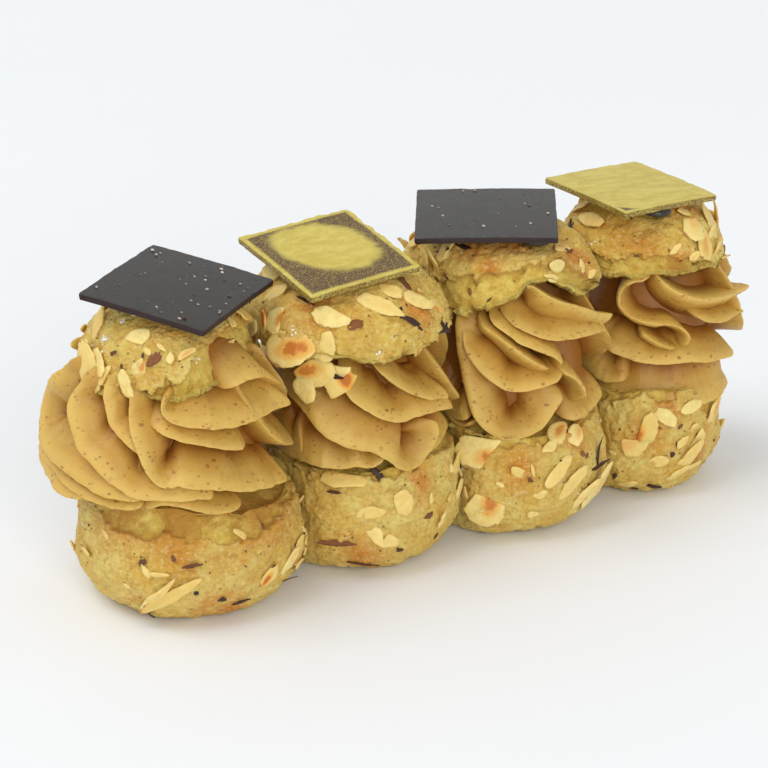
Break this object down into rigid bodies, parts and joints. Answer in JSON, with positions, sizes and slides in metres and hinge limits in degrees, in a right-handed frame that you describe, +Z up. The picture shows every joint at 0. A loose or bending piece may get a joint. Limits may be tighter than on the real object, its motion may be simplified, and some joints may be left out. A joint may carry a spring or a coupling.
{
  "type": "paris brest pastry",
  "caption": "Filled choux bar: buns baked in a strip, piped praline cream swirls, torn tops, almond flakes and thin chocolate squares on top.",
  "frame": {"origin": "middle of the bounding box on the surface that the pastry stands on", "axes": "+X along the strip of buns, +Z up, +Y towards the back"},
  "size_m": [0.1577, 0.0498, 0.0662],
  "materials": {
    "choux": "baked choux crust, golden with darker toasted spots, matt to satin",
    "praline_cream": "smooth piped hazelnut praline cream, soft sheen, fine brown specks",
    "dark_chocolate": "tempered dark chocolate, smooth and glossy, broken crumbly edges",
    "gold_dust": "dark chocolate brushed with pale gold lustre dust",
    "almond": "toasted flaked almond with brown skin edges",
    "sugar": "loose icing sugar grains"
  },
  "bodies": {
    "root": {"choux_base": "choux", "choux_lid": "choux", "cream_1": "praline_cream", "cream_2": "praline_cream", "cream_3": "praline_cream", "cream_4": "praline_cream", "plaque_dark_1": "dark_chocolate", "plaque_gold_2": "gold_dust", "plaque_dark_3": "dark_chocolate", "plaque_gold_4": "gold_dust", "dab_3": "dark_chocolate", "dab_4": "dark_chocolate"}
  },
  "joints": []
}
